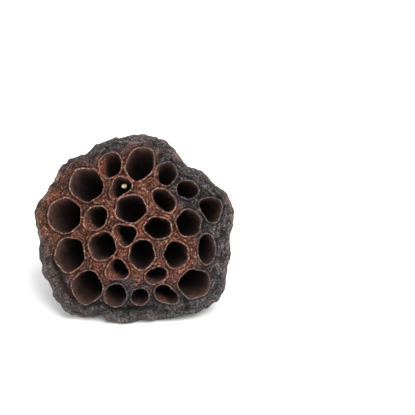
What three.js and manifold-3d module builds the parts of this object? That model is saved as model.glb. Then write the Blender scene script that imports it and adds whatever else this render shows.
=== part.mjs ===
// A dried lotus pod (the seed head of Nelumbo nucifera), picked, dried and lying on its side.
// The receptacle grew as one piece: a domed face full of open seed chambers, a rolled crusty rim,
// a funnel-shaped side and a short cut stub of its stalk. Its seeds have dropped out, and one
// undeveloped seed is still caught in its chamber.
//
// Units are millimetres and +Z is up. The pod is drawn face up first, in its own face frame
// (x across the face, y up the face, z out of the face), then tipped on to its rim and stub.
// The origin is on the surface that it lies on, below the middle of its box.

import * as THREE from "three";
import { mergeVertices } from "three/addons/utils/BufferGeometryUtils.js";
import Module from "manifold-3d";

// ---- Driving dimensions ----

const FACE_ELEVATION = 35.8; // degrees that the face looks up from the horizontal, as it lies
const WORN_OFF = 0.8; // how much of the rim and stub is pressed flat where they touch the surface
const DOME = 3; // how far the middle of the face stands above its edge
const FUNNEL_APEX = 64; // depth at which the axes of all the seed chambers would meet
const CHAMBER_DEPTH = 1.12; // depth of a chamber for each millimetre of its mean width
const BASE_DEPTH = 48; // depth below the face at which the funnel becomes the stalk
const STALK_RADIUS = 5.2;
const STUB_DEPTH = 55.3; // depth of the cut end of the stalk

const RIM_STEPS = 80; // points round the rim
const CHAMBER_SIDES = 16; // points round each chamber

// The rim's outline on the face, anticlockwise from the right: its lobes and the notches between them.
const RIM_OUTLINE = [
  [43.9, 5], [43.2, 10.8], [40, 16.2], [35.2, 20.2], [29.7, 25.4], [24.8, 27.4], [18.5, 33.8],
  [15.6, 38], [8.6, 41.4], [1.4, 42.5], [-5.9, 40.9], [-13.5, 38.9], [-17.6, 36.9], [-22.5, 32.9],
  [-29.3, 30.6], [-32.9, 27.6], [-36, 21.6], [-39.7, 15.9], [-44.3, 7.5], [-44.1, 1.4],
  [-42.4, -6.5], [-41.9, -12.5], [-39.7, -20], [-36, -27.2], [-33, -33.3], [-28.3, -36.9],
  [-21.7, -38.6], [-16.2, -38.6], [-8.1, -40.9], [0.9, -40.8], [7.2, -40.2], [18.5, -39.2],
  [27.8, -37.3], [34.1, -33.9], [39.4, -28.6], [41, -18.9], [42.6, -10.5], [42.3, -3.6],
];

// The seed chambers' mouths, from the top row down. Each is an oval: the place of its middle, its
// length and width, the turn of its length in degrees, and how many corners it is drawn out into,
// how far, and the direction of one of them.
const CHAMBERS = [
  { at: [-10.7, 27.8], size: [11.9, 10.1], turn: 75, corners: 4, drawn: 0.03, toward: 60 },
  { at: [2.6, 28.4], size: [15.8, 12.1], turn: 66, corners: 5, drawn: 0.03, toward: 48 },
  { at: [14, 23.9], size: [10.8, 9.6], turn: 60, corners: 5, drawn: 0.045, toward: -5 },
  { at: [-21.2, 19.1], size: [15.6, 14.6], turn: -45, corners: 5, drawn: 0.035, toward: -17 },
  { at: [-6.1, 18], size: [11.1, 7.8], turn: 45, corners: 3, drawn: 0.13, toward: -5 },
  { at: [13.3, 12], size: [12.6, 8.4], turn: -46, corners: 5, drawn: 0.03, toward: 75 },
  { at: [23.7, 16.9], size: [10, 8.2], turn: -10, corners: 5, drawn: 0.035, toward: -8 },
  { at: [34.2, 8.3], size: [11.6, 9.4], turn: -68, corners: 3, drawn: 0.12, toward: 35 },
  { at: [-30.8, 5.3], size: [15.6, 15], turn: 90, corners: 6, drawn: 0.022, toward: 27 },
  { at: [-16.9, 4.1], size: [11.8, 9.6], turn: 50, corners: 4, drawn: 0.03, toward: 40 },
  { at: [-1.3, 8.2], size: [14, 12.5], turn: 12, corners: 5, drawn: 0.035, toward: 64 },
  { at: [10.8, -0.3], size: [12.4, 9.8], turn: -8, corners: 5, drawn: 0.04, toward: -32 },
  { at: [24.2, 1.8], size: [12.2, 10.9], turn: 95, corners: 5, drawn: 0.035, toward: 25 },
  { at: [-28.3, -12], size: [15.4, 13.3], turn: 84, corners: 5, drawn: 0.04, toward: -22 },
  { at: [-13.8, -8.4], size: [12.6, 12.2], turn: 70, corners: 4, drawn: 0.04, toward: -22 },
  { at: [-3.8, -3.5], size: [10.3, 9], turn: 150, corners: 3, drawn: 0.19, toward: 27 },
  { at: [3.7, -12], size: [13.5, 11.4], turn: 84, corners: 5, drawn: 0.035, toward: -15 },
  { at: [18.8, -12.1], size: [12.1, 10.8], turn: 90, corners: 5, drawn: 0.045, toward: 38 },
  { at: [32.2, -9.5], size: [13.3, 7.9], turn: 90, corners: 2, drawn: 0.03, toward: 90 },
  { at: [-7.2, -18.8], size: [10, 9], turn: 0, corners: 3, drawn: 0.13, toward: 90 },
  { at: [10, -21.2], size: [10.5, 6.7], turn: 22, corners: 4, drawn: 0.04, toward: 70 },
  { at: [-20.5, -26.4], size: [14.6, 13.4], turn: 80, corners: 4, drawn: 0.045, toward: 78 },
  { at: [-8, -30], size: [10.3, 9.8], turn: 60, corners: 5, drawn: 0.02, toward: 70 },
  { at: [2.8, -30.6], size: [8.1, 7.3], turn: 20, corners: 5, drawn: 0.03, toward: 60 },
  { at: [14.3, -29.6], size: [11.4, 7.2], turn: -28, corners: 3, drawn: 0.08, toward: -30 },
  { at: [26.8, -24.8], size: [14.2, 12.5], turn: 15, corners: 5, drawn: 0.04, toward: 37 },
];

// Down a chamber: share of its depth, and its width there for a width of 1 at the mouth.
const CHAMBER_PROFILE = [[0, 1], [0.3, 1], [0.62, 0.9], [0.87, 0.66]];
const CHAMBER_OVERSHOOT = 4; // how far the cutting shape stands out of the mouth

// The undeveloped seed: a shrivelled bead against the wall of its chamber.
const SEED_AT = [-4.7, 18.7];
const SEED_RADIUS = 1.35;
const SEED_BELOW_MOUTH = 4;

// The receptacle from its face to the stub's end: width for a rim width of 1, depth below the
// face's edge, and how far the section has gone from the rim's outline to the stalk's circle.
const BODY_PROFILE = [
  { width: 0.35 },
  { width: 0.6 },
  { width: 0.75 },
  { width: 0.86 },
  { width: 0.93 },
  { width: 0.965, depth: 0.2 },
  { width: 0.99, depth: 1.4 },
  { width: 1, depth: 3.4 },
  { width: 0.985, depth: 6.4 },
  { width: 0.915, depth: 10, round: 0.03 },
  { width: 0.8, depth: 15.5, round: 0.1 },
  { width: 0.63, depth: 23, round: 0.25 },
  { width: 0.46, depth: 31, round: 0.5 },
  { width: 0.29, depth: 39.5, round: 0.8 },
  { width: 0.16, depth: BASE_DEPTH, round: 1 },
  { width: STALK_RADIUS / 43, depth: 51.5, round: 1 },
  { width: STALK_RADIUS / 43, depth: STUB_DEPTH, round: 1 },
];
const MEAN_RIM_RADIUS = 43;

// ---- Shapes ----

// Height of the domed face at a point of the face frame, from 0 near the rim to DOME in the middle.
function faceHeight(x, y) {
  const share = Math.min(1, Math.hypot(x, y) / (0.93 * MEAN_RIM_RADIUS));
  return DOME * (1 - share * share);
}

// A closed surface through rings of equally many points, closed at each end by a pole.
function loft(rings, firstPole, lastPole) {
  const n = rings[0].length;
  const points = [firstPole, ...rings.flat(), lastPole];
  const last = points.length - 1;
  const at = (ring, i) => 1 + ring * n + (i % n);
  const faces = [];
  for (let i = 0; i < n; i++) {
    faces.push(0, at(0, i), at(0, i + 1));
    for (let ring = 0; ring + 1 < rings.length; ring++) {
      faces.push(at(ring, i), at(ring + 1, i), at(ring + 1, i + 1));
      faces.push(at(ring, i), at(ring + 1, i + 1), at(ring, i + 1));
    }
    faces.push(at(rings.length - 1, i), last, at(rings.length - 1, i + 1));
  }
  const geometry = new THREE.BufferGeometry().setFromPoints(points);
  geometry.setIndex(faces);
  return geometry;
}

// The whole receptacle before its chambers are cut: the rim's outline carried down the body profile.
function bodyGeometry() {
  const corners = RIM_OUTLINE.map(([x, y]) => new THREE.Vector3(x, y, 0));
  const rim = new THREE.CatmullRomCurve3(corners, true, "centripetal").getSpacedPoints(RIM_STEPS);
  rim.pop();
  const rings = BODY_PROFILE.map(({ width, depth, round = 0 }) =>
    rim.map((p) => {
      const radius = width * THREE.MathUtils.lerp(p.length(), MEAN_RIM_RADIUS, round);
      const [x, y] = [(p.x / p.length()) * radius, (p.y / p.length()) * radius];
      return new THREE.Vector3(x, y, depth === undefined ? faceHeight(x, y) : -depth);
    }),
  );
  return loft(rings, new THREE.Vector3(0, 0, DOME), new THREE.Vector3(0, 0, -STUB_DEPTH));
}

// How far a chamber's mouth reaches from its middle in the direction of an angle: an ellipse,
// drawn out a little at its corners.
function mouthRadius({ size, turn, corners, drawn, toward }, angle) {
  const along = angle - THREE.MathUtils.degToRad(turn);
  const oval = 0.5 / Math.hypot(Math.cos(along) / size[0], Math.sin(along) / size[1]);
  return oval * (1 + drawn * Math.cos(corners * (angle - THREE.MathUtils.degToRad(toward))));
}

// The hollow of one chamber, which narrows towards the point where all their axes meet.
function chamberGeometry(chamber) {
  const [cx, cy] = chamber.at;
  const top = faceHeight(cx, cy);
  const deep = (CHAMBER_DEPTH * (chamber.size[0] + chamber.size[1])) / 2;
  const ring = (depth, width) => {
    const near = 1 - depth / FUNNEL_APEX;
    return Array.from({ length: CHAMBER_SIDES }, (_, i) => {
      const angle = (i / CHAMBER_SIDES) * 2 * Math.PI;
      const radius = mouthRadius(chamber, angle) * width;
      return new THREE.Vector3(
        (cx + radius * Math.cos(angle)) * near,
        (cy + radius * Math.sin(angle)) * near,
        top - depth,
      );
    });
  };
  const rings = CHAMBER_PROFILE.map(([share, width]) => ring(share * deep, width));
  const mouth = ring(-CHAMBER_OVERSHOOT, 1);
  const pole = (depth) =>
    new THREE.Vector3(cx * (1 - depth / FUNNEL_APEX), cy * (1 - depth / FUNNEL_APEX), top - depth);
  return loft([mouth, ...rings], pole(-CHAMBER_OVERSHOOT), pole(deep));
}

// ---- Solids ----

const wasm = await Module();
wasm.setup();

// A closed geometry as a solid.
function solid(geometry) {
  const bare = geometry.clone();
  bare.deleteAttribute("normal");
  bare.deleteAttribute("uv");
  const merged = mergeVertices(bare, 1e-4);
  return new wasm.Manifold(
    new wasm.Mesh({
      numProp: 3,
      vertProperties: merged.attributes.position.array,
      triVerts: new Uint32Array(merged.index.array),
    }),
  );
}

// A solid as a geometry, with flat faces.
function geometryOf(made) {
  const mesh = made.getMesh();
  const geometry = new THREE.BufferGeometry()
    .setAttribute("position", new THREE.BufferAttribute(mesh.vertProperties, 3))
    .setIndex(new THREE.BufferAttribute(mesh.triVerts, 1));
  return geometry;
}

// Tips a shape from the face frame on to its rim and stub: the face looks along -Y, and up by
// FACE_ELEVATION.
const tip = new THREE.Matrix4().makeRotationX(THREE.MathUtils.degToRad(90 - FACE_ELEVATION));

// The receptacle with its chambers cut, tipped, and pressed flat where it touches the surface.
function podGeometry() {
  const hollowed = CHAMBERS.reduce(
    (body, chamber) => body.subtract(solid(chamberGeometry(chamber))),
    solid(bodyGeometry()),
  );
  const tipped = geometryOf(hollowed).applyMatrix4(tip);
  tipped.computeBoundingBox();
  const lift = -tipped.boundingBox.min.z - WORN_OFF;
  tipped.translate(0, 0, lift);
  const underneath = new THREE.BoxGeometry(200, 200, 20).translate(0, 0, -10);
  return { geometry: geometryOf(solid(tipped).subtract(solid(underneath))), lift };
}

const pod = podGeometry();
pod.geometry.computeBoundingBox();
const middle = pod.geometry.boundingBox.getCenter(new THREE.Vector3());

const dryHusk = new THREE.MeshStandardMaterial({ color: 0x5e4437, roughness: 0.9, metalness: 0 });
const paleSeed = new THREE.MeshStandardMaterial({ color: 0xc9b48c, roughness: 0.8, metalness: 0 });

const podMesh = new THREE.Mesh(pod.geometry, dryHusk);
podMesh.name = "lotus_pod";

// The seed sits on the wall of its chamber, below the mouth.
const seedPlace = new THREE.Vector3(
  SEED_AT[0],
  SEED_AT[1],
  faceHeight(...SEED_AT) - SEED_BELOW_MOUTH,
).applyMatrix4(tip);
const seedMesh = new THREE.Mesh(new THREE.SphereGeometry(SEED_RADIUS, 12, 8), paleSeed);
seedMesh.name = "undeveloped_seed";
seedMesh.scale.set(1.12, 1, 0.95);
seedMesh.position.copy(seedPlace).add(new THREE.Vector3(0, 0, pod.lift));

const lotusPod = new THREE.Group();
lotusPod.add(podMesh, seedMesh);
lotusPod.position.set(-middle.x, -middle.y, 0);

export default lotusPod;
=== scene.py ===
import bpy
import numpy as np
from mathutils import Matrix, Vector
from mathutils.geometry import delaunay_2d_cdt


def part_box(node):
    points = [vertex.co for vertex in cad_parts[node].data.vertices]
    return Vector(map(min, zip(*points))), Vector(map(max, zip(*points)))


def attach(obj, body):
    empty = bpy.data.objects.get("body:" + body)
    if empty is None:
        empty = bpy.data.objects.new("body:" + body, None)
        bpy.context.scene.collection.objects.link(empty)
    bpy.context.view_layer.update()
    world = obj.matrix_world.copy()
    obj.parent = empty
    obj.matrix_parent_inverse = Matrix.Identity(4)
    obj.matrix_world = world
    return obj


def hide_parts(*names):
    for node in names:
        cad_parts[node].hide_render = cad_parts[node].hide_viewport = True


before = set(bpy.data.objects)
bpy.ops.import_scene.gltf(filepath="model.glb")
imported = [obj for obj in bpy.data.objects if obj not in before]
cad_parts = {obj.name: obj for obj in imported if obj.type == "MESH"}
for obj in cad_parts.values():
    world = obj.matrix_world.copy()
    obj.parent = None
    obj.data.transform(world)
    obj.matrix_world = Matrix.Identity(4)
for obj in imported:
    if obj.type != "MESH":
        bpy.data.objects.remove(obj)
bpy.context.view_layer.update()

# ---- The dried husk ----
# The receptacle of a lotus, grown as one piece: spongy tissue under a papery skin that shrank and
# wrinkled as it dried. Its face holds the open seed chambers, its rim is rolled, and its side
# tapers in ribs to a short stub of stalk. It is drawn in millimetres, face up, and then tipped.

FACE_ELEVATION = 35.8  # degrees that the face looks up, as the pod lies
DOME = 3.0  # how far the face's middle stands above its edge
FUNNEL_APEX = 64.0  # depth at which the axes of the chambers would meet
CHAMBER_DEPTH = 1.12  # depth for each millimetre of a chamber's mean width
MEAN_RIM = 43.0  # mean radius of the rim
STALK = 5.2  # radius of the stalk
STUB_DEPTH = 55.3  # depth of the stub's cut end below the face's edge
FACE_EDGE = 0.945  # share of the rim's radius at which the face ends and the rim's roll begins
EDGE_OF_DOME = 0.93  # share of the mean radius at which the dome has fallen to the edge

ROUND_RIM = 320  # points round the rim
ROUND_MOUTH = 72  # points round each chamber's mouth
SIDE_MARK = 30  # added to the distance from the lips on the outside, to tell it from the web

# The rim's outline on the face, anticlockwise from the right.
RIM_OUTLINE = np.array([
    (43.9, 5), (43.2, 10.8), (40, 16.2), (35.2, 20.2), (29.7, 25.4), (24.8, 27.4), (18.5, 33.8),
    (15.6, 38), (8.6, 41.4), (1.4, 42.5), (-5.9, 40.9), (-13.5, 38.9), (-17.6, 36.9),
    (-22.5, 32.9), (-29.3, 30.6), (-32.9, 27.6), (-36, 21.6), (-39.7, 15.9), (-44.3, 7.5),
    (-44.1, 1.4), (-42.4, -6.5), (-41.9, -12.5), (-39.7, -20), (-36, -27.2), (-33, -33.3),
    (-28.3, -36.9), (-21.7, -38.6), (-16.2, -38.6), (-8.1, -40.9), (0.9, -40.8), (7.2, -40.2),
    (18.5, -39.2), (27.8, -37.3), (34.1, -33.9), (39.4, -28.6), (41, -18.9), (42.6, -10.5),
    (42.3, -3.6),
])

# The chambers' mouths, from the top row down: middle x and y, length, width, turn of the length,
# how many corners, how far they are drawn out and the direction of one, and how far the wall
# slopes in below the lip and on which side.
CHAMBERS = np.array([
    (-10.7, 27.8, 11.9, 10.1, 75, 4, 0.03, 60, 0.42, 185),
    (2.6, 28.4, 15.8, 12.1, 66, 5, 0.03, 48, 0.1, 200),
    (14, 23.9, 10.8, 9.6, 60, 5, 0.045, -5, 0.5, 200),
    (-21.2, 19.1, 15.6, 14.6, -45, 5, 0.035, -17, 0.14, 185),
    (-6.1, 18, 11.1, 7.8, 45, 3, 0.13, -5, 0.3, 225),
    (13.3, 12, 12.6, 8.4, -46, 5, 0.03, 75, 0.4, 225),
    (23.7, 16.9, 10, 8.2, -10, 5, 0.035, -8, 0.15, 230),
    (34.2, 8.3, 11.6, 9.4, -68, 3, 0.12, 35, 0.3, 215),
    (-30.8, 5.3, 15.6, 15, 90, 6, 0.022, 27, 0.14, 195),
    (-16.9, 4.1, 11.8, 9.6, 50, 4, 0.03, 40, 0.35, 215),
    (-1.3, 8.2, 14, 12.5, 12, 5, 0.035, 64, 0.12, 190),
    (10.8, -0.3, 12.4, 9.8, -8, 5, 0.04, -32, 0.05, 200),
    (24.2, 1.8, 12.2, 10.9, 95, 5, 0.035, 25, 0.05, 260),
    (-28.3, -12, 15.4, 13.3, 84, 5, 0.04, -22, 0.16, 195),
    (-13.8, -8.4, 12.6, 12.2, 70, 4, 0.04, -22, 0.14, 190),
    (-3.8, -3.3, 10.7, 9.3, 150, 3, 0.13, 27, 0.4, 200),
    (3.7, -12, 13.5, 11.4, 84, 5, 0.035, -15, 0.1, 190),
    (18.8, -12.1, 12.1, 10.8, 90, 5, 0.045, 38, 0.06, 190),
    (32.2, -9.5, 13.3, 7.9, 90, 2, 0.03, 90, 0.3, 185),
    (-7.2, -18.8, 10, 9, 0, 3, 0.13, 90, 0.45, 205),
    (10, -21.2, 10.5, 6.7, 22, 4, 0.04, 70, 0.25, 225),
    (-20.5, -26.4, 14.6, 13.4, 80, 4, 0.045, 78, 0.16, 205),
    (-8, -30, 10.3, 9.8, 60, 5, 0.02, 70, 0.22, 225),
    (2.8, -30.6, 8.1, 7.3, 20, 5, 0.03, 60, 0.2, 255),
    (14.3, -29.6, 11.4, 7.2, -28, 3, 0.08, -30, 0.28, 240),
    (26.8, -24.8, 14.2, 12.5, 15, 5, 0.04, 37, 0.08, 260),
])


def smooth(low, high, x):
    """0 below low, 1 above high, and a smooth cubic step between them."""
    t = np.clip((x - low) / (high - low), 0, 1)
    return t * t * (3 - 2 * t)


def noise(points, size, seed):
    """Value noise from -1 to 1: a number hashed from each corner of a lattice of cubes of that
    size, blended across the cube by quintic weights."""
    p = np.asarray(points, float) / size + 97.3
    cell = np.floor(p).astype(np.int64)
    t = p - cell
    t = t ** 3 * (t * (6 * t - 15) + 10)
    total = np.zeros(p.shape[:-1])
    for corner in np.ndindex(2, 2, 2):
        c = cell + corner
        h = (c[..., 0] * 73856093) ^ (c[..., 1] * 19349663) ^ (c[..., 2] * 83492791) ^ (seed * 9781)
        h = ((h & 0xFFFFFFFF) * 2654435761) & 0xFFFFFFFF
        h = ((h ^ (h >> 15)) * 2246822519) & 0xFFFFFFFF
        h = h ^ (h >> 13)
        weight = np.prod(np.where(corner, t, 1 - t), axis=-1)
        total += weight * (h / 2147483647.5 - 1)
    return total


def cloud(points, size, seed, octaves=3):
    """Noise summed over octaves, each half the size and 0.55 of the strength of the last."""
    return sum(0.55 ** k * noise(points, size / 2 ** k, seed + k) for k in range(octaves))


def directions(count):
    """Angles that divide a full turn into equal steps, from 0."""
    return np.arange(count) / count * 2 * np.pi


def rim_radius(angle):
    """The rim's radius in a direction: the outline's radii joined by a smooth closed curve."""
    a = np.arctan2(RIM_OUTLINE[:, 1], RIM_OUTLINE[:, 0])
    r = np.hypot(RIM_OUTLINE[:, 0], RIM_OUTLINE[:, 1])
    order = np.argsort(a)
    a, r = a[order], r[order]
    a = np.concatenate([a - 2 * np.pi, a, a + 2 * np.pi])
    r = np.tile(r, 3)
    slope = np.gradient(r, a)
    x = (np.asarray(angle) + np.pi) % (2 * np.pi) - np.pi
    i = np.clip(np.searchsorted(a, x) - 1, 0, len(a) - 2)
    gap = a[i + 1] - a[i]
    t = (x - a[i]) / gap
    return (r[i] * (1 + 2 * t) * (1 - t) ** 2 + r[i + 1] * t * t * (3 - 2 * t)
            + gap * (slope[i] * t * (1 - t) ** 2 - slope[i + 1] * t * t * (1 - t)))


def mouth_radius(angle, k):
    """How far mouth k reaches from its middle in a direction: an ellipse whose radius is drawn
    out at its corners, and frayed a little."""
    length, width, turn, corners, drawn, toward = np.moveaxis(CHAMBERS[k, 2:8], -1, 0)
    along = angle - np.radians(turn)
    oval = 0.5 / np.hypot(np.cos(along) / length, np.sin(along) / width)
    frayed = 0.012 * np.sin(7 * angle + 2.1 * k) + 0.008 * np.sin(12 * angle + 4.3 * k)
    return oval * (1 + drawn * np.cos(corners * (angle - np.radians(toward))) + frayed)


def from_lips(x, y):
    """Distance outside every mouth's lip, one column for each chamber."""
    k = np.arange(len(CHAMBERS))
    dx = x[:, None] - CHAMBERS[:, 0]
    dy = y[:, None] - CHAMBERS[:, 1]
    return np.hypot(dx, dy) - mouth_radius(np.arctan2(dy, dx), k)


def dome(x, y):
    """Height of the smooth face: a shallow dome over the funnel."""
    share = np.minimum(1, np.hypot(x, y) / (EDGE_OF_DOME * MEAN_RIM))
    return DOME * (1 - share ** 2)


# Where the crust begins on the face: a direction in degrees, and the share of the rim's radius.
CRUST_START = np.array([
    (-180, 1.02), (-172, 0.92), (-160, 0.91), (-128, 0.88), (-116, 0.72), (-105, 0.56),
    (-80, 0.58), (-55, 0.72), (-20, 0.74), (10, 0.64), (35, 0.58), (60, 0.75), (90, 0.88),
    (115, 0.88), (140, 1.0), (165, 1.05), (180, 1.02),
])


def crust_on_face(x, y):
    """Where the face wears the rim's grey crust, 0 to 1: a smooth step outside the share of the
    rim's radius where the crust begins, which is small on the right and below and large on the
    left, with a ragged border from noise."""
    angle = np.arctan2(y, x)
    edge = np.interp(np.degrees(angle), *CRUST_START.T)
    share = np.hypot(x, y) / rim_radius(angle)
    flat = np.stack([x, y, 0 * x], -1)
    return smooth(-0.15, 0.09, share - edge + 0.07 * cloud(flat, 9, 11) + 0.03 * noise(flat, 2, 12))


# The relief of the dried web, in millimetres.
LIP_HEIGHT = 0.45
LIP_WIDTH = 0.32
GROOVE_DEPTH = 0.42
GROOVE_PLACE = 0.95  # distance outside the lip
FOLD_HEIGHT = 0.2
FOLD_SPACING = 1.15
SEAM_DEPTH = 0.3
STREAK_HEIGHT = 0.6
FURROW_DEPTH = 0.9
FURROW_PLACE = 0.87  # share of the rim's radius


def on_lower_left(degrees):
    """How much a direction is on the lower left, 0 to 1, where the rim's roll bulges: the product
    of a smooth rise and a smooth fall."""
    return smooth(-175, -150, degrees) * (1 - smooth(-95, -60, degrees))


def face_relief(x, y):
    """What the dried web adds to the dome, in millimetres: the sum of a raised papery lip round
    each mouth, a groove outside it, sine folds that follow the lips, a seam midway between
    neighbouring mouths, lumps and streaks in the crust, and a furrow along the roll. Apart from
    it, how the face slumps as a whole, the distance from the nearest lip and the crust."""
    near = np.sort(from_lips(x, y), axis=1)[:, :2]
    lip = near[:, 0]
    midway = (near[:, 1] - near[:, 0]) / 2
    flat = np.stack([x, y, 0 * x], -1)
    crust = crust_on_face(x, y)
    wander = 0.35 * cloud(flat, 3.5, 21)
    folds = np.sin(2 * np.pi * (lip + wander) / FOLD_SPACING)
    depth = smooth(0.3, 1.0, lip)
    angle = np.arctan2(y, x)
    share = np.hypot(x, y) / rim_radius(angle)
    degrees = np.degrees(angle)
    lower_left = on_lower_left(degrees)
    relief = LIP_HEIGHT * np.exp(-(lip / LIP_WIDTH) ** 2)
    relief -= GROOVE_DEPTH * np.exp(-((lip - GROOVE_PLACE) / 0.35) ** 2)
    relief += depth * (1 - 0.4 * crust) * FOLD_HEIGHT * folds
    relief -= SEAM_DEPTH * np.exp(-(midway / 0.25) ** 2) * smooth(0.5, 1.2, lip)
    relief += depth * (0.3 * cloud(flat, 2.6, 31) + crust * 0.35 * cloud(flat, 1.9, 41, 2))
    along_rim = np.stack([11 * np.cos(angle), 11 * np.sin(angle), 48 * share], -1)
    streaks = smooth(-80, -40, degrees) * STREAK_HEIGHT * noise(along_rim, 1, 45)
    relief += depth * crust * streaks
    relief -= FURROW_DEPTH * lower_left * np.exp(-((share - FURROW_PLACE) / 0.02) ** 2)
    sunk = smooth(0.4, 3.5, lip) * (1 - smooth(0.82, 0.93, share))
    slump = 0.45 * noise(flat, 9, 51) - 0.7 * sunk
    slump += lower_left * smooth(0.88, 0.93, share) * (1.2 + 1.3 * noise(flat, 4.5, 55))
    return relief, slump, lip, crust


def husk_points():
    """The points of the face's web, in this order: round each mouth, round the face's edge, then
    rings at growing distances outside each lip, kept where no other lip or edge is nearer."""
    turn = directions(ROUND_MOUTH)
    k = np.arange(len(CHAMBERS))[:, None]
    rings = []
    offsets = np.concatenate([np.arange(0.28, 3.4, 0.29), np.arange(3.6, 12, 0.5)])
    for number, offset in enumerate(offsets):
        shifted = turn + (number % 2) * np.pi / ROUND_MOUTH
        r = mouth_radius(shifted, k) + offset
        x = (CHAMBERS[:, :1] + r * np.cos(shifted)).ravel()
        y = (CHAMBERS[:, 1:2] + r * np.sin(shifted)).ravel()
        own = np.repeat(np.arange(len(CHAMBERS)), ROUND_MOUTH)
        away = from_lips(x, y)
        away[np.arange(len(x)), own] = np.inf
        edge = FACE_EDGE * rim_radius(np.arctan2(y, x)) - np.hypot(x, y)
        keep = (away.min(1) > offset + 0.12) & (edge > 0.35)
        rings.append(np.stack([x[keep], y[keep]], 1))
    around = directions(ROUND_RIM)
    edge = FACE_EDGE * rim_radius(around)
    round_it = np.stack([np.cos(turn), np.sin(turn)], -1)
    lips = CHAMBERS[:, None, :2] + mouth_radius(turn, k)[..., None] * round_it
    border = np.stack([edge * np.cos(around), edge * np.sin(around)], -1)
    return np.concatenate([lips.reshape(-1, 2), border, *rings])


def web_triangles(points):
    """Joins the web's points into triangles, and leaves the mouths open: a triangle is in a mouth
    if its corners are all on one lip and its middle is inside that lip's polygon."""
    mouths = len(CHAMBERS) * ROUND_MOUTH
    i = np.arange(mouths)
    lip_edges = np.stack([i, i - i % ROUND_MOUTH + (i + 1) % ROUND_MOUTH], 1)
    j = np.arange(ROUND_RIM)
    edges = np.concatenate([lip_edges, mouths + np.stack([j, (j + 1) % ROUND_RIM], 1)])
    made = delaunay_2d_cdt(points.tolist(), edges.tolist(), [], 1, 1e-6)
    if len(made[0]) != len(points):
        raise ValueError("two points of the web fell together")
    tri = np.array(made[2])
    owner = np.where(tri < mouths, tri // ROUND_MOUTH, -1 - tri)
    same = (owner[:, 0] == owner[:, 1]) & (owner[:, 1] == owner[:, 2])
    k = np.where(same, owner[:, 0], 0)
    middle = points[tri].mean(1)
    centre = CHAMBERS[k, :2]
    angle = np.arctan2(middle[:, 1] - centre[:, 1], middle[:, 0] - centre[:, 0]) % (2 * np.pi)
    a = np.minimum((angle / (2 * np.pi) * ROUND_MOUTH).astype(int), ROUND_MOUTH - 1)
    first = points[k * ROUND_MOUTH + a]
    second = points[k * ROUND_MOUTH + (a + 1) % ROUND_MOUTH]
    way, to = second - first, middle - first
    inside = way[:, 0] * to[:, 1] - way[:, 1] * to[:, 0] > 0
    return tri[~(same & inside)]


# The rings down a chamber: depths in millimetres near the lip, then shares of its depth. Its
# profile gives a share of its depth and the width there, for a mouth width of 1.
LIP_DEPTHS = np.array([0.25, 0.7, 1.4])
DEPTH_SHARES = np.array([0.17, 0.25, 0.34, 0.44, 0.54, 0.64, 0.74, 0.83, 0.91, 0.97])
CHAMBER_PROFILE = np.array([
    (0, 1), (0.02, 0.975), (0.06, 0.965), (0.3, 0.98), (0.6, 0.9), (0.8, 0.74), (0.9, 0.57),
    (0.96, 0.36), (1, 0),
])


def chamber_walls(lip_height):
    """Each chamber as rings below its lip: the mouth's shape times a width that narrows slowly and
    then closes, on an axis towards the funnel's apex, drawn in on the side that slopes, with soft
    upright creases. Gives the rings, the middle of each floor, how far down each point is, in
    millimetres and as a share, and where a slope wears the skin of the web, which is also painted
    light on a wall that faces the lamp."""
    turn = directions(ROUND_MOUTH)
    k = np.arange(len(CHAMBERS))[:, None, None]
    deep = (CHAMBER_DEPTH * CHAMBERS[:, 2:4].mean(1))[:, None, None]
    shares = np.concatenate([LIP_DEPTHS[None].repeat(len(CHAMBERS), 0) / deep[:, :, 0],
                             DEPTH_SHARES[None].repeat(len(CHAMBERS), 0)], 1)[:, :, None]
    depth = shares * deep
    width = np.interp(shares, *CHAMBER_PROFILE.T)
    near = 1 - depth / FUNNEL_APEX
    centre = CHAMBERS[:, None, None, :2]
    slope, side = CHAMBERS[:, None, None, 8], np.radians(CHAMBERS[:, None, None, 9])
    sloped = slope * (0.5 + 0.5 * np.cos(turn - side)) ** 1.5
    r = mouth_radius(turn, k) * width * near * (1 - sloped * smooth(0, 4.5, depth))
    round_it = np.stack([np.cos(turn), np.sin(turn)], -1)
    sample = np.concatenate([
        centre + 5 * round_it + 0 * depth[..., None],
        np.broadcast_to(depth / 3.5, r.shape)[..., None],
    ], -1)
    fade = smooth(0.2, 2.5, depth)
    r = r + fade * width * (0.32 * cloud(sample, 1.6, 61, 2) + 0.35 * noise(sample, 4, 71))
    xy = centre * near[..., None] + r[..., None] * round_it
    top = dome(CHAMBERS[:, 0], CHAMBERS[:, 1])[:, None, None]
    level = lip_height.reshape(len(CHAMBERS), 1, ROUND_MOUTH)
    z = level * (1 - smooth(0, 0.5, shares)) + top * smooth(0, 0.5, shares) - depth
    ring = np.concatenate([xy, z[..., None]], -1)
    floor = np.concatenate([
        CHAMBERS[:, :2] * (1 - deep[:, :, 0] / FUNNEL_APEX),
        (top - deep)[:, :, 0],
    ], 1)
    # The web's skin on a sloping wall, and painted light: the sloping side faces the lamp and is
    # painted paler than the dark wall.
    skin = 0.85 * smooth(0.16, 0.4, sloped) * (1 - smooth(2.5, 5.5, depth))
    return ring, floor, np.broadcast_to(depth, r.shape), np.broadcast_to(shares, r.shape), skin


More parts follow.
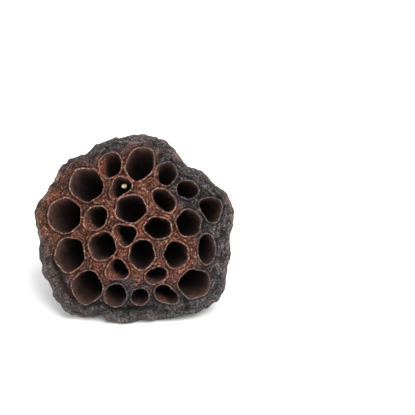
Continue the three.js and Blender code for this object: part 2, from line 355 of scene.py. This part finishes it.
# The outside from the face's edge to the stub: width for a rim width of 1, depth below the
# face's edge, and how far the section has gone from the rim's outline to the stalk's circle.
STALK_WIDTH = STALK / MEAN_RIM
OUTSIDE = np.array([
    (FACE_EDGE, 0.0, 0), (0.966, 0.25, 0), (0.985, 0.95, 0), (0.997, 2.1, 0), (1, 3.6, 0),
    (0.99, 5.4, 0), (0.965, 7.4, 0.01), (0.915, 10, 0.03), (0.8, 15.5, 0.1), (0.63, 23, 0.25),
    (0.46, 31, 0.5), (0.29, 39.5, 0.8), (0.16, 47.5, 1), (STALK_WIDTH, 51.5, 1),
    (STALK_WIDTH, STUB_DEPTH - 0.7, 1), (0.97 * STALK_WIDTH, STUB_DEPTH - 0.1, 1),
    (0.88 * STALK_WIDTH, STUB_DEPTH, 1), (0.55 * STALK_WIDTH, STUB_DEPTH - 0.1, 1),
    (0.25 * STALK_WIDTH, STUB_DEPTH - 0.15, 1),
])
# Rows of points in each gap of the profile.
OUTSIDE_STEPS = [2, 3, 3, 3, 3, 3, 4, 6, 7, 7, 8, 8, 5, 4, 2, 2, 4, 3]


def outside_rows():
    """The outside profile run through a smooth curve (Catmull-Rom) at each gap's own number of
    steps: width, depth and roundness of every row after the face's edge."""
    p = np.concatenate([2 * OUTSIDE[:1] - OUTSIDE[1:2], OUTSIDE, 2 * OUTSIDE[-1:] - OUTSIDE[-2:-1]])
    rows = []
    for i, steps in enumerate(OUTSIDE_STEPS):
        a, b, c, d = p[i:i + 4]
        t = (np.arange(steps) + 1)[:, None] / steps
        rows.append(0.5 * (2 * b + (c - a) * t + (2 * a - 5 * b + 4 * c - d) * t ** 2
                           + (3 * b - a - 3 * c + d) * t ** 3))
    return np.concatenate(rows)


def plain_outside():
    """The rim's outline carried down the outside profile while it turns to a circle: a grid of
    points, and apart from it each row's width and depth, and each column's direction."""
    around = directions(ROUND_RIM)
    width, depth, rounded = (column[:, None] for column in outside_rows().T)
    radius = width * (rim_radius(around) * (1 - rounded) + MEAN_RIM * rounded)
    grid = np.stack([radius * np.cos(around), radius * np.sin(around), -depth + 0 * radius], -1)
    return grid, width, depth, around


def normals_of(grid):
    """The outward direction at each point of a grid of rows that close round: the cross product
    of the step down and the step along, made of length 1."""
    down = np.gradient(grid, axis=0)
    along = (np.roll(grid, -1, 1) - np.roll(grid, 1, 1)) / 2
    n = np.cross(down, along)
    return n / np.maximum(np.linalg.norm(n, axis=-1, keepdims=True), 1e-9)


# The relief of the outside: counts round it, and millimetres.
RIBS = 34
RIB_HEIGHT = 0.95
RIDGE_HEIGHT = 0.4  # along the outer edge of the rim, on the right
FLUTES = 11  # round the stalk
FLUTE_HEIGHT = 0.22
CHANNELS = 8  # air channels round the middle one
CHANNEL_RING = 2.7  # radius of the ring they stand on
CHANNEL_DEPTH = 1.1


def outside_surface(edge_relief):
    """The rolled rim, the side and the stub: the plain outside moved outwards by the sum of knobs
    on the rim, a ridge along its right edge, sine ribs down the side that fork towards the rim,
    wrinkles and flutes on the stalk, with air channels in the stub's cut end. Gives the points,
    their relief, which the colour turns into painted shade and highlight, their crust, their depth,
    and how pale their fibres are."""
    base, width, depth, around = plain_outside()
    out = normals_of(base)
    span = depth / STUB_DEPTH
    degrees = np.degrees((around + np.pi) % (2 * np.pi) - np.pi)

    rim = np.exp(-((depth - 2.5) / 4.5) ** 2)
    knobs = (0.55 * cloud(base, 4.2, 81) + 0.45 * np.abs(noise(base, 2.6, 91))
             + on_lower_left(degrees) * (0.2 + 1.6 * noise(base, 4.6, 95)))
    squeeze = np.stack([np.cos(around) * 9, np.sin(around) * 9, 0 * around], -1)
    phase = around * RIBS + 2.2 * noise(squeeze, 3, 101) + 3 * span * noise(squeeze, 5, 111)
    side = smooth(4, 12, depth) * (1 - smooth(48, 53, depth))
    swell = RIB_HEIGHT * (np.abs(np.sin(phase / 2)) - 0.6)
    ribs = side * (0.15 + 0.85 * np.sqrt(width)) * swell
    stretched = base * np.array([1, 1, 0.35])
    skin = (0.28 * cloud(stretched, 2.4, 121) + 0.12 * noise(base, 0.9, 131)) * smooth(0, 3, depth)
    flutes = smooth(46, 51, depth) * FLUTE_HEIGHT * np.cos(FLUTES * around + 2 * span)
    right_side = smooth(-85, -60, degrees) * (1 - smooth(85, 105, degrees))
    ridge = RIDGE_HEIGHT * right_side * np.exp(-((depth - 0.9) / 0.6) ** 2)
    moved = rim * knobs + ridge + ribs + skin * np.clip(width * 2.2, 0.25, 1) + flutes
    joined = smooth(0, 2.2, np.cumsum(np.full(len(base), 0.28)))[:, None]
    moved = moved * joined
    cut_end = (depth > STUB_DEPTH - 0.2) & (width < 0.9 * STALK_WIDTH)
    moved = np.where(cut_end, 0, moved)
    grid = base + out * moved[..., None]
    grid[..., 2] += (1 - joined) * edge_relief

    x, y = base[..., 0], base[..., 1]
    turn = directions(CHANNELS)
    hole_x = np.concatenate([[0], CHANNEL_RING * np.cos(turn)])
    hole_y = np.concatenate([[0], CHANNEL_RING * np.sin(turn)])
    hole = np.hypot(x[..., None] - hole_x, y[..., None] - hole_y).min(-1)
    channels = np.where(cut_end, CHANNEL_DEPTH * (1 - smooth(0.35, 0.8, hole)), 0)
    grid[..., 2] += channels
    # The relief for the colour's painted shade and highlight: the ridge counts twice, as a painted
    # highlight along the right edge, and the air channels are painted shade.
    relief = 0.55 * moved + ridge - 0.9 * channels
    crust = (0.1 + 0.9 * np.exp(-np.maximum(depth - 5, 0) / 11)) * (1 + 0.5 * cloud(base, 7, 141))
    bare = smooth(124, 138, degrees) + 1 - smooth(-176, -160, degrees)
    crust = crust * (1 - 0.8 * bare * np.exp(-depth / 12))
    threads = np.stack([16 * np.cos(around) + 0 * depth, 16 * np.sin(around) + 0 * depth,
                        depth / 9 + 0 * around], -1)
    fibre = np.clip(0.5 + 0.3 * ribs + 0.4 * cloud(threads, 1.3, 151), 0, 1)
    return grid, relief, np.clip(crust, 0, 1), np.broadcast_to(depth, grid.shape[:2]), fibre


flat_points = husk_points()
web = web_triangles(flat_points)
mouth_count = len(CHAMBERS) * ROUND_MOUTH
relief, slump, lip, crust = face_relief(*flat_points.T)
height = dome(*flat_points.T) + relief + slump
# Painted shade: the web is darker towards the left, away from the lamp, and a little paler towards
# the right; its relief is painted as if it lay that much lower or higher.
painted_side_shade = (1 - crust) * (0.23 * smooth(-36, 15, flat_points[:, 0]) - 0.15)
face = np.concatenate([flat_points, height[:, None]], 1)
edge_points = slice(mouth_count, mouth_count + ROUND_RIM)
walls, floors, wall_depth, wall_share, wall_skin_and_light = chamber_walls(height[:mouth_count])
outside, out_relief, out_crust, out_depth, out_fibre = outside_surface(
    (relief + slump)[edge_points])
end_pole = np.array([[0, 0, -STUB_DEPTH + CHANNEL_DEPTH]])

wall_start = len(face)
floor_start = wall_start + walls.size // 3
outside_start = floor_start + len(floors)
pole = outside_start + outside.size // 3


def ring_quads(index):
    """Faces between neighbouring rings, from a grid of point numbers whose rows close round: a
    point, the one below it, and the next two round."""
    a, b = index[..., :-1, :], index[..., 1:, :]
    a2, b2 = np.roll(a, -1, -1), np.roll(b, -1, -1)
    return np.stack([a, b, b2, a2], -1).reshape(-1, 4)


mouth_index = np.arange(mouth_count).reshape(len(CHAMBERS), 1, ROUND_MOUTH)
wall_index = wall_start + np.arange(walls.size // 3).reshape(walls.shape[:3])
wall_grid = np.concatenate([mouth_index, wall_index], 1)
last = wall_grid[:, -1]
floor_index = np.broadcast_to((floor_start + np.arange(len(floors)))[:, None], last.shape)
floor_fans = np.stack([last, np.roll(last, -1, 1), floor_index], -1).reshape(-1, 3)
edge_index = (mouth_count + np.arange(ROUND_RIM))[None]
outside_index = outside_start + np.arange(outside.size // 3).reshape(outside.shape[:2])
outside_grid = np.concatenate([edge_index, outside_index])
end = outside_grid[-1]
end_fan = np.stack([end, np.full_like(end, pole), np.roll(end, -1)], -1)

husk = np.concatenate([face, walls.reshape(-1, 3), floors, outside.reshape(-1, 3), end_pole])
wall_faces = ring_quads(wall_grid)[:, ::-1]  # turned round, to face the chamber's axis
husk_faces = (web.tolist() + wall_faces.tolist() + floor_fans.tolist()
              + ring_quads(outside_grid).tolist() + end_fan.tolist())

# The pod is tipped until its face looks forwards and up, and set where its solid frame is.
tilt = np.radians(90 - FACE_ELEVATION)
TIP = np.array([[1, 0, 0], [0, np.cos(tilt), -np.sin(tilt)], [0, np.sin(tilt), np.cos(tilt)]])


def frame_shift():
    """Where the face's own origin lies in the shared frame, in millimetres: the plain outside,
    tipped, is set to the middle and the top of the solid's box."""
    low, high = (np.array(corner) * 1000 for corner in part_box("lotus_pod"))
    plain = plain_outside()[0].reshape(-1, 3) @ TIP.T
    middle = (low + high) / 2 - (plain.min(0) + plain.max(0)) / 2
    return np.array([middle[0], middle[1], high[2] - plain[:, 2].max()])


SHIFT = frame_shift()


def to_row(points):
    """Millimetres, face up, to metres in the shared frame: tipped, then shifted."""
    return (points @ TIP.T + SHIFT) / 1000


def make_mesh(name, points, faces, **attributes):
    """A smooth-shaded mesh object from points and faces, with a number at each point for each
    named attribute."""
    mesh = bpy.data.meshes.new(name)
    mesh.from_pydata(points.tolist(), [], faces)
    mesh.shade_smooth()
    for key, values in attributes.items():
        layer = mesh.attributes.new(key, "FLOAT", "POINT")
        layer.data.foreach_set("value", np.asarray(values, np.float32).ravel())
    mesh.validate()
    made = bpy.data.objects.new(name, mesh)
    bpy.context.scene.collection.objects.link(made)
    return made


def over_husk(on_face, on_walls, on_floors, on_outside, at_end):
    """One number for each point of the husk, in the order of its points. A part may be given as a
    single number."""
    sizes = (len(face), walls.size // 3, len(floors), outside.size // 3, 1)
    parts = (on_face, on_walls, on_floors, on_outside, at_end)
    return np.concatenate([np.broadcast_to(np.ravel(part), size)
                           for part, size in zip(parts, sizes)])


husk_row = to_row(husk)
husk_row[:, 2] = np.maximum(husk_row[:, 2], 0)  # pressed flat where it lies on the table
pod = make_mesh(
    "lotus_husk", husk_row, husk_faces,
    from_lip=over_husk(lip, -wall_depth, -wall_depth[:, -1, 0], out_depth + SIDE_MARK,
                       SIDE_MARK + STUB_DEPTH),
    hollow=over_husk(0, wall_share, 1, 0, 0),
    crust=over_husk(crust, 0, 0, out_crust, 0.3),
    # The colour paints this relief as shade and highlight; it is lowest, and so painted darkest, at
    # the stub's middle channel.
    relief=over_husk(relief + painted_side_shade, 0, 0, out_relief, -1),
    skin=over_husk(0, wall_skin_and_light, 0, 0, 0),
    fibre=over_husk(0, 0, 0, out_fibre, 0.4),
)
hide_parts("lotus_pod")
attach(pod, "root")

# Dried plant skin that shrank onto spongy tissue, papery and matt: red-brown where the web is
# smooth, under a grey weathered crust on the rim, pale where the lips are rubbed, with painted
# shade and highlight on its folds and relief, and dark inside the chambers, deepened there by
# painted shade.


def paint(hex_colour):
    """An sRGB hex colour as linear RGBA, by the sRGB curve."""
    c = np.array([int(hex_colour[i:i + 2], 16) / 255 for i in (1, 3, 5)])
    linear = np.where(c <= 0.04045, c / 12.92, ((c + 0.055) / 1.055) ** 2.4)
    return (*linear.tolist(), 1.0)


def add(tree, kind, inputs=(), output=0, stops=(), **settings):
    """Adds a node of a kind and gives one of its outputs. Its settings are set first. Its inputs
    go by number or by name, each a value to set or another node's output to link. A colour ramp
    takes stops, each a place with a colour or a grey number."""
    node = tree.nodes.new("ShaderNode" + kind)
    for key, value in settings.items():
        setattr(node, key, value)
    for key, value in inputs.items() if isinstance(inputs, dict) else enumerate(inputs):
        if isinstance(value, bpy.types.NodeSocket):
            tree.links.new(value, node.inputs[key])
        else:
            node.inputs[key].default_value = value
    while stops and len(node.color_ramp.elements) < len(stops):
        node.color_ramp.elements.new(0.5)
    for number, (place, colour) in enumerate(stops):
        element = node.color_ramp.elements[number]
        element.position = place
        element.color = paint(colour) if isinstance(colour, str) else (colour, colour, colour, 1)
    return node.outputs[output]


# Mixing two colours, or tinting one by another: input 0 is the share of the second, and 6 and 7
# are the colours.
MIX = {"output": 2, "data_type": "RGBA"}
TINT = {"output": 2, "data_type": "RGBA", "blend_type": "MULTIPLY"}

# The husk's patterns: the size of their patches in millimetres, then the detail, the roughness
# and the distortion of the noise. The finest grain of the real skin is too fine to show, so it is
# drawn at 0.45 mm.
HUSK_PATTERNS = {
    "patches": (6, 4, 0.6, 0), "fibres": (1.1, 5, 0.75, 0.3), "grain": (0.45, 3, 0.8, 0),
    "moss": (4, 3, 0.6, 0), "crumbs": (0.75, 5, 0.7, 0.1), "weather": (5, 3, 0.6, 0),
    "drift": (3.2, 3, 0.5, 0), "breaks": (2.2, 5, 0.75, 0), "stains": (3.5, 4, 0.6, 0),
    "pits": (1.1, 6, 0.78, 0.2),
}
PAINTED_FOLDS = 1.05  # spacing of the finest folds, in millimetres


def husk_material():
    """Dried lotus husk: red-brown, dark brown and olive web under a grey crust, times a painted
    shade that is dark in grooves and low relief and pale on folds and what stands proud, with a
    broken pale line on the lips, and a dark brown that painted shade deepens down the chambers.
    Folds, grain and pits are its bump."""
    made = bpy.data.materials.new("dried_lotus_husk")
    made.use_nodes = True
    tree = made.node_tree
    shader = tree.nodes["Principled BSDF"]
    place = add(tree, "TexCoord", output="Object")
    pattern = {
        name: add(tree, "TexNoise", {"Vector": place, "Scale": 1000 / size, "Detail": detail,
                                     "Roughness": rough, "Distortion": distortion})
        for name, (size, detail, rough, distortion) in HUSK_PATTERNS.items()
    }
    from_lip, hollow, crust_here, height_here, skin, fibre = (
        add(tree, "Attribute", output="Fac", attribute_name=name)
        for name in ("from_lip", "hollow", "crust", "relief", "skin", "fibre")
    )

    # The web: brown, with redder patches, and olive ones as of moss.
    brown = add(tree, "ValToRGB", [pattern["fibres"]], stops=[
        (0.32, "#190d0b"), (0.44, "#442720"), (0.56, "#6c4639"), (0.68, "#c09e8d")])
    redder = add(tree, "ValToRGB", [pattern["fibres"]], stops=[
        (0.32, "#1d0d0a"), (0.45, "#522a20"), (0.57, "#814d3c"), (0.7, "#d2a792")])
    olive = add(tree, "ValToRGB", [pattern["fibres"]], stops=[
        (0.32, "#161007"), (0.46, "#3b2d1a"), (0.58, "#6b5532"), (0.7, "#c0a66e")])
    red_share = add(tree, "ValToRGB", [pattern["patches"]], stops=[(0.42, 0.0), (0.56, 1.0)])
    moss_share = add(tree, "ValToRGB", [pattern["moss"]], stops=[(0.54, 0.0), (0.66, 0.6)])
    web_colour = add(tree, "Mix", {0: red_share, 6: brown, 7: redder}, **MIX)
    web_colour = add(tree, "Mix", {0: moss_share, 6: web_colour, 7: olive}, **MIX)

    # The side: duller fibres, pale on the ribs.
    varied = add(tree, "Math", [pattern["fibres"], 0.5], operation="SUBTRACT")
    fibrous = add(tree, "Math", [varied, 0.9, fibre], operation="MULTIPLY_ADD")
    side_colour = add(tree, "ValToRGB", [fibrous], stops=[
        (0.2, "#241814"), (0.42, "#4a352c"), (0.6, "#6d5547"), (0.85, "#9a8372")])
    on_side = add(tree, "Math", [from_lip, SIDE_MARK - 0.1], operation="GREATER_THAN")
    web_colour = add(tree, "Mix", {0: on_side, 6: web_colour, 7: side_colour}, **MIX)

    # The crust: weathered grey, with a warm or a mossy tint.
    crust_colour = add(tree, "ValToRGB", [pattern["crumbs"]], stops=[
        (0.33, "#1c1819"), (0.45, "#423a3c"), (0.55, "#645c5e"), (0.7, "#9f9899")])
    weathered = add(tree, "ValToRGB", [pattern["weather"]], stops=[
        (0.4, "#ebe1df"), (0.5, "#d9d8d9"), (0.6, "#b6bdb5")])
    crust_colour = add(tree, "Mix", {0: 1.0, 6: crust_colour, 7: weathered}, **TINT)
    colour = add(tree, "Mix", {0: crust_here, 6: web_colour, 7: crust_colour}, **MIX)

    # Fine folds that follow the lips, and wander; the crust covers most of them.
    drifted = add(tree, "Math", [pattern["drift"], 2.0, from_lip], operation="MULTIPLY_ADD")
    turns = add(tree, "Math", [drifted, 2 * np.pi / PAINTED_FOLDS], operation="MULTIPLY")
    waves = add(tree, "Math", [turns], operation="SINE")
    off_lip = add(tree, "Math", [from_lip, 0.3], operation="GREATER_THAN")
    off_side = add(tree, "Math", [from_lip, SIDE_MARK - 10.0], operation="LESS_THAN")
    on_web = add(tree, "Math", [off_lip, off_side], operation="MULTIPLY")
    uncovered = add(tree, "Math", [crust_here, -0.65, 1.0], operation="MULTIPLY_ADD")
    shown = add(tree, "Math", [on_web, uncovered], operation="MULTIPLY")
    folds = add(tree, "Math", [waves, shown], operation="MULTIPLY")

    # Painted shade in what lies low and painted highlight on what stands proud, from the relief,
    # plus the grain's own speckle: darker or paler than the colour.
    raised = add(tree, "Math", [height_here, 0.85, 0.5], operation="MULTIPLY_ADD")
    speckled = add(tree, "Math", [pattern["grain"], 1.8, -0.88], operation="MULTIPLY_ADD")
    relief_shade_and_grain = add(tree, "Math", [raised, speckled], operation="ADD")
    # The folds are painted into it as light and shade as well.
    relief_shade_and_grain = add(tree, "Math", [folds, 0.15, relief_shade_and_grain], operation="MULTIPLY_ADD")
    shade = add(tree, "ValToRGB", [relief_shade_and_grain], stops=[(0.05, 0.2), (0.45, 0.74), (0.95, 1.7)])
    colour = add(tree, "Mix", {0: 1.0, 6: colour, 7: shade}, **TINT)

    # The lips: a thin papery edge, rubbed pale and broken.
    above_wall = add(tree, "Math", [from_lip, -0.2], operation="GREATER_THAN")
    at_lip = add(tree, "Math", [from_lip, 0.1], operation="LESS_THAN")
    lip_share = add(tree, "Math", [at_lip, above_wall], operation="MULTIPLY")
    unbroken = add(tree, "ValToRGB", [pattern["breaks"]], stops=[(0.42, 0.0), (0.57, 0.9)])
    lip_share = add(tree, "Math", [lip_share, unbroken], operation="MULTIPLY")
    lip_colour = add(tree, "ValToRGB", [pattern["grain"]], stops=[
        (0.4, "#4c352c"), (0.5, "#84695b"), (0.62, "#e0d0c4")])
    colour = add(tree, "Mix", {0: lip_share, 6: colour, 7: lip_colour}, **MIX)

    # The chambers: dark brown, darkened further towards the floor by painted shade, and the web's
    # skin where a wall slopes, painted paler as lit on walls that face the lamp.
    inside = add(tree, "ValToRGB", [hollow], stops=[
        (0.0, "#543b37"), (0.16, "#38241f"), (0.32, "#26150f"), (0.6, "#150a06"),
        (1.0, "#090402")])
    stains = add(tree, "ValToRGB", [pattern["stains"]], stops=[(0.35, 0.5), (0.65, 1.15)])
    inside = add(tree, "Mix", {0: 1.0, 6: inside, 7: stains}, **TINT)
    slope_skin_and_light = add(tree, "Mix", {0: 0.5, 6: web_colour, 7: redder}, **MIX)
    inside = add(tree, "Mix", {0: skin, 6: inside, 7: slope_skin_and_light}, **MIX)
    in_hollow = add(tree, "Math", [from_lip, -0.2], operation="LESS_THAN")
    colour = add(tree, "Mix", {0: in_hollow, 6: colour, 7: inside}, **MIX)
    tree.links.new(colour, shader.inputs["Base Color"])

    # The bump, in millimetres: folds, grain, and pits that are deeper in the crust.
    fold_height = add(tree, "Math", [folds, 0.12], operation="MULTIPLY")
    grain_height = add(tree, "Math", [pattern["grain"], 0.5], operation="MULTIPLY")
    pit_depth = add(tree, "Math", [crust_here, 1.3, 0.3], operation="MULTIPLY_ADD")
    pits = add(tree, "Math", [pattern["pits"], pit_depth], operation="MULTIPLY")
    rough = add(tree, "Math", [fold_height, grain_height], operation="ADD")
    rough = add(tree, "Math", [rough, pits], operation="ADD")
    bump = add(tree, "Bump", {"Strength": 1.0, "Distance": 0.001, "Height": rough})
    tree.links.new(bump, shader.inputs["Normal"])
    shader.inputs["Roughness"].default_value = 0.85
    shader.inputs["IOR"].default_value = 1.35
    shader.inputs["Specular IOR Level"].default_value = 0.3
    return made


pod.data.materials.append(husk_material())

# ---- The undeveloped seed ----
# One seed that never filled: a pale bead of dried plant tissue that shrivelled in its chamber
# near the top. It sits close to the wall, and what holds it there can't be seen.

SEED_SIZE = 0.84  # share of the solid's box that the dried bead fills
SEED_SPOTS = 0.9  # size of its brown spots, in millimetres


def seed_surface(rows=28, around=40):
    """A bead from the solid's box: an ellipsoid on two angles, whose radius shrinks towards its
    top and has shrivelled dents from noise. Its poles are closed by fans."""
    low, high = (np.array(corner) * 1000 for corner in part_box("undeveloped_seed"))
    centre, half = (low + high) / 2, (high - low) / 2
    v = (np.arange(1, rows) / rows * np.pi)[:, None]
    u = directions(around)
    unit = np.stack([np.sin(v) * np.cos(u), np.sin(v) * np.sin(u), np.cos(v) + 0 * u], -1)
    size = SEED_SIZE + 0.07 * cloud(unit, 0.7, 201) - 0.1 * np.exp(-(v / 0.35) ** 2)
    body = (centre + unit * size[..., None] * half).reshape(-1, 3)
    top = centre + [0, 0, (SEED_SIZE - 0.11) * half[2]]
    bottom = centre - [0, 0, (SEED_SIZE - 0.01) * half[2]]
    index = np.arange(len(body)).reshape(rows - 1, around)
    fans = [np.stack([np.full(around, len(body)), index[0], np.roll(index[0], -1)], -1),
            np.stack([index[-1], np.full(around, len(body) + 1), np.roll(index[-1], -1)], -1)]
    faces = ring_quads(index).tolist() + fans[0].tolist() + fans[1].tolist()
    return np.concatenate([body, [top], [bottom]]) / 1000, faces


def seed_material():
    """Shrivelled seed: a matt cream skin with browner spots, which are also its dents."""
    made = bpy.data.materials.new("shrivelled_seed")
    made.use_nodes = True
    tree = made.node_tree
    shader = tree.nodes["Principled BSDF"]
    place = add(tree, "TexCoord", output="Object")
    spots = add(tree, "TexNoise", {"Vector": place, "Scale": 1000 / SEED_SPOTS, "Detail": 4.0})
    colour = add(tree, "ValToRGB", [spots], stops=[
        (0.3, "#7d6a55"), (0.5, "#bba88c"), (0.7, "#dccfba")])
    tree.links.new(colour, shader.inputs["Base Color"])
    bump = add(tree, "Bump", {"Strength": 0.5, "Distance": 0.0002, "Height": spots})
    tree.links.new(bump, shader.inputs["Normal"])
    shader.inputs["Roughness"].default_value = 0.6
    return made


seed_points, seed_faces = seed_surface()
seed = make_mesh("undeveloped_seed_bead", seed_points, seed_faces)
seed.data.materials.append(seed_material())
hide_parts("undeveloped_seed")
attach(seed, "root")

# ---- The floor, the light and the camera ----
# The pod lies on a plain white table, in an even studio light. A large soft lamp stands above it
# and to the right, and a weaker one on the left lifts the shadows.

HALF_TABLE = 3.0  # metres
corners = [(-HALF_TABLE, -HALF_TABLE, 0), (HALF_TABLE, -HALF_TABLE, 0),
           (HALF_TABLE, HALF_TABLE, 0), (-HALF_TABLE, HALF_TABLE, 0)]
floor_mesh = bpy.data.meshes.new("floor")
floor_mesh.from_pydata(corners, [], [(0, 1, 2, 3)])
floor = bpy.data.objects.new("floor", floor_mesh)
bpy.context.scene.collection.objects.link(floor)
floor_paint = bpy.data.materials.new("white_table")
floor_paint.use_nodes = True
table_top = floor_paint.node_tree.nodes["Principled BSDF"]
table_top.inputs["Base Color"].default_value = (0.9, 0.9, 0.9, 1)
table_top.inputs["Roughness"].default_value = 0.6
floor_mesh.materials.append(floor_paint)

world = bpy.data.worlds.new("studio")
bpy.context.scene.world = world
world.use_nodes = True
even_light = world.node_tree.nodes["Background"]
even_light.inputs["Color"].default_value = (1, 1, 1, 1)
even_light.inputs["Strength"].default_value = 0.9


def soft_box(name, place, aim, size, power):
    """A square area light at a place, turned to look at a point."""
    light = bpy.data.lights.new(name, "AREA")
    light.size = size
    light.energy = power
    made = bpy.data.objects.new(name, light)
    made.location = place
    made.rotation_mode = "QUATERNION"
    made.rotation_quaternion = (Vector(aim) - Vector(place)).to_track_quat("-Z", "Y")
    bpy.context.scene.collection.objects.link(made)
    return made


soft_box("key", (0.35, -0.35, 0.95), (0, 0, 0.03), 0.8, 14)
soft_box("fill", (-0.5, -0.8, 0.5), (0, 0, 0.03), 0.6, 2)

camera = bpy.data.cameras.new("camera")
camera.lens = 100
camera.sensor_width = 36
eye = bpy.data.objects.new("camera", camera)
bpy.context.scene.collection.objects.link(eye)
bpy.context.scene.camera = eye

CAMERA_ELEVATION = np.radians(30)
CAMERA_DISTANCE = 0.51
face_middle = to_row(np.array([0.0, 0.0, 1.0]))
look = Vector((0, float(np.cos(CAMERA_ELEVATION)), -float(np.sin(CAMERA_ELEVATION))))
right = Vector((1, 0, 0))
up = right.cross(look)
# The pod stands left of and below the middle of the view, by these metres.
LEFT_OF_MIDDLE, BELOW_MIDDLE = 0.0325, 0.0089
aim = Vector(face_middle) + right * LEFT_OF_MIDDLE + up * BELOW_MIDDLE
eye.location = aim - look * CAMERA_DISTANCE
eye.rotation_mode = "QUATERNION"
eye.rotation_quaternion = look.to_track_quat("-Z", "Y")

bpy.context.scene.view_settings.view_transform = "Standard"
